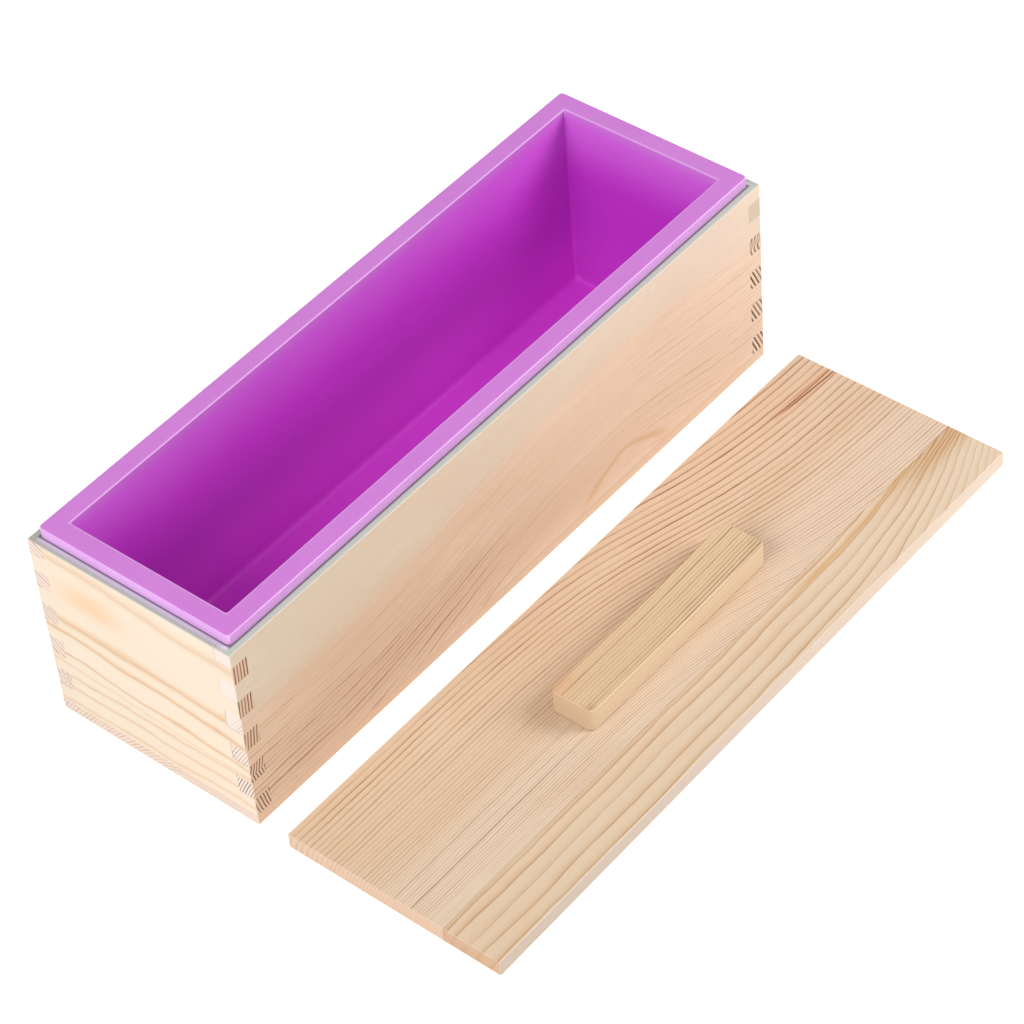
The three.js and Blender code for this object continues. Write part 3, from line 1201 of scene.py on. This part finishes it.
def liner_section():
    """The liner's cut, from the middle of its underside up the outside and down the inside.

    Each point is (inset from the flange's outer edge, height, corner radius).
    """
    top = LINER_HIGH.z
    floor = UNDERSIDE_Z + FLOOR_THICKNESS
    section = []

    def add_arc(inset, height, bend, start, end, radius_from, radius_to, steps=5):
        points = arc((inset, height), bend, start, end, steps)
        for i, (x, z) in enumerate(points):
            section.append((x, z, radius_from + (radius_to - radius_from) * i / steps))

    foot = TUB_INSET + TUB_TAPER
    add_arc(foot + FOOT_BEND, UNDERSIDE_Z + FOOT_BEND, FOOT_BEND, 270, 180, 2.0, TUB_RADIUS)
    section.append((TUB_INSET + 0.6, FLANGE_UNDER - 22.0, TUB_RADIUS))
    section.append((TUB_INSET, FLANGE_UNDER - 0.6, TUB_RADIUS))
    section.append((TUB_INSET - 0.3, FLANGE_UNDER, TUB_RADIUS))
    bend = FLANGE_UNDER_BEND
    add_arc(bend, FLANGE_UNDER + bend, bend, 270, 180, FLANGE_RADIUS - bend, FLANGE_RADIUS, 4)
    bend = FLANGE_TOP_BEND
    add_arc(bend, top - bend, bend, 180, 90, FLANGE_RADIUS, FLANGE_RADIUS - 0.5)
    section.append((2.4, top, FLANGE_RADIUS - 0.5))
    section.append((FLANGE_REACH - 1.4, top, OPENING_RADIUS + 0.3))
    bend = LIP_BEND
    add_arc(FLANGE_REACH - bend, top - bend, bend, 90, 0, OPENING_RADIUS + 0.2, OPENING_RADIUS, 4)
    for share in (0.25, 0.5, 0.75):
        depth = (top - floor) * share
        section.append((FLANGE_REACH + TUB_TAPER * share, top - depth, OPENING_RADIUS + share))
    bend = FLOOR_BEND
    inset = FLANGE_REACH + TUB_TAPER + bend
    add_arc(inset, floor + bend, bend, 180, 270, OPENING_RADIUS + 0.8, 2.6)
    return section


def liner_piece():
    half_x = LINER_HIGH.x
    half_y = LINER_HIGH.y
    bm = bmesh.new()
    rings = []
    for inset, height, radius in liner_section():
        outline = rounded_rectangle(
            half_x - inset, half_y - inset, radius, LINER_CORNER_STEPS, side_steps=LINER_SIDE_STEPS)
        rings.append([bm.verts.new(Vector((x, y, height)) * MM) for x, y in outline])
    for lower, upper in zip(rings, rings[1:]):
        for i in range(len(lower)):
            j = (i + 1) % len(lower)
            bm.faces.new((lower[i], lower[j], upper[j], upper[i]))
    bm.faces.new(rings[0])
    bm.faces.new(rings[-1])
    piece = link_mesh("silicone_liner", bm)
    return stand_for(piece, "liner", "liner", silicone("silicone"))


# ---------------------------------------------------------------- the object


def build_box():
    inner_y = BOX_HALF_WIDTH - WALL_THICKNESS
    inner_x = BOX_HALF_LENGTH - WALL_THICKNESS
    long_wall = {
        "half": BOX_HALF_LENGTH,
        "first_finger": 1,
        "gap": FINGER_GAP,
        "thickness_axis": 1,
    }
    end_board = {"half": BOX_HALF_WIDTH, "first_finger": 0, "gap": 0.0, "thickness_axis": 0}
    wall("front_wall", low=-BOX_HALF_WIDTH, high=-inner_y, seed=1, **long_wall)
    wall("back_wall", low=inner_y, high=BOX_HALF_WIDTH, seed=2, **long_wall)
    wall("left_end", low=-BOX_HALF_LENGTH, high=-inner_x, seed=3, **end_board)
    wall("right_end", low=inner_x, high=BOX_HALF_LENGTH, seed=4, **end_board)
    plank("base_board", "box", joint_faces=((2, BASE_TOP),), holes=brad_holes())


def build_lid():
    seam = (1, (WIDE_LOW.y + NARROW_HIGH.y) / 2)
    plank("lid_wide_board", "lid", joint_faces=(seam,), holes=screw_holes())
    plank("lid_narrow_board", "lid", joint_faces=(seam,))
    handle_piece()


def dress_fasteners():
    metal = steel("steel")
    for name, node in frame["nodes"].items():
        if "brad" in name or "screw" in name:
            node.data.materials.clear()
            node.data.materials.append(metal)


# ---------------------------------------------------------------- stage

CAMERA_AZIMUTH = -46.879
CAMERA_ELEVATION = 44.884
CAMERA_ROLL = -5.487
CAMERA_LENS = 128.12
CAMERA_DISTANCE_M = 1.29906
CAMERA_TARGET_M = (0.02184, -0.02074, 0.0)


def direction(azimuth, elevation):
    """The way from the object towards a place at this azimuth and elevation."""
    a, e = math.radians(azimuth), math.radians(elevation)
    return Vector((math.sin(a) * math.cos(e), -math.cos(a) * math.cos(e), math.sin(e)))


def add_camera():
    data = bpy.data.cameras.new("camera")
    data.lens = CAMERA_LENS
    data.clip_end = 20.0
    camera = bpy.data.objects.new("camera", data)
    bpy.context.scene.collection.objects.link(camera)
    back = direction(CAMERA_AZIMUTH, CAMERA_ELEVATION)
    turn = (-back).to_track_quat("-Z", "Y").to_matrix().to_4x4()
    roll = Matrix.Rotation(math.radians(CAMERA_ROLL), 4, "Z")
    place = Matrix.Translation(Vector(CAMERA_TARGET_M) + back * CAMERA_DISTANCE_M)
    camera.matrix_world = place @ turn @ roll
    bpy.context.scene.camera = camera


LIGHT_DISTANCE_M = 1.8
WORLD_STRENGTH = 0.40
FLOOR_HALF_M = 4.0
FLOOR_DROP_M = 0.0002
FLOOR_GLOW = 0.45


def softbox(name, azimuth, elevation, size_m, watts):
    """A square light that faces the object from this azimuth and elevation."""
    data = bpy.data.lights.new(name, "AREA")
    data.shape = "SQUARE"
    data.size = size_m
    data.energy = watts
    light = bpy.data.objects.new(name, data)
    back = direction(azimuth, elevation)
    light.location = back * LIGHT_DISTANCE_M
    light.rotation_mode = "QUATERNION"
    light.rotation_quaternion = (-back).to_track_quat("-Z", "Y")
    bpy.context.scene.collection.objects.link(light)


def add_floor():
    bm = bmesh.new()
    bmesh.ops.create_grid(bm, x_segments=1, y_segments=1, size=FLOOR_HALF_M)
    floor = link_mesh("studio_floor", bm)
    floor.location.z = -FLOOR_DROP_M
    tree = Tree("studio_floor")
    x, y, _ = tree.place()
    grain = tree.noise(tree.vector(tree.div(x, 3.0), tree.div(y, 3.0), 0.0))
    shade = tree.mix(tree.rise(grain, -0.4, 0.4), (0.86, 0.86, 0.86, 1), (0.88, 0.88, 0.88, 1))
    tree.put(tree.shader.inputs["Base Color"], shade)
    tree.shader.inputs["Roughness"].default_value = 0.9
    tree.shader.inputs["Specular IOR Level"].default_value = 0.1
    tree.shader.inputs["Emission Color"].default_value = (1, 1, 1, 1)
    tree.shader.inputs["Emission Strength"].default_value = FLOOR_GLOW
    floor.data.materials.append(tree.material)


def add_lights():
    world = bpy.data.worlds.new("studio")
    world.use_nodes = True
    background = world.node_tree.nodes["Background"]
    background.inputs["Color"].default_value = (1.0, 1.0, 1.0, 1)
    background.inputs["Strength"].default_value = WORLD_STRENGTH
    bpy.context.scene.world = world
    softbox("left_box", azimuth=-85, elevation=35, size_m=1.0, watts=17.5)
    softbox("right_box", azimuth=40, elevation=32, size_m=0.9, watts=19.5)


def set_view():
    view = bpy.context.scene.view_settings
    view.view_transform = "Standard"
    view.look = "None"


build_box()
build_lid()
dress_fasteners()
liner_piece()
add_floor()
add_lights()
add_camera()
set_view()

bpy.context.view_layer.update()
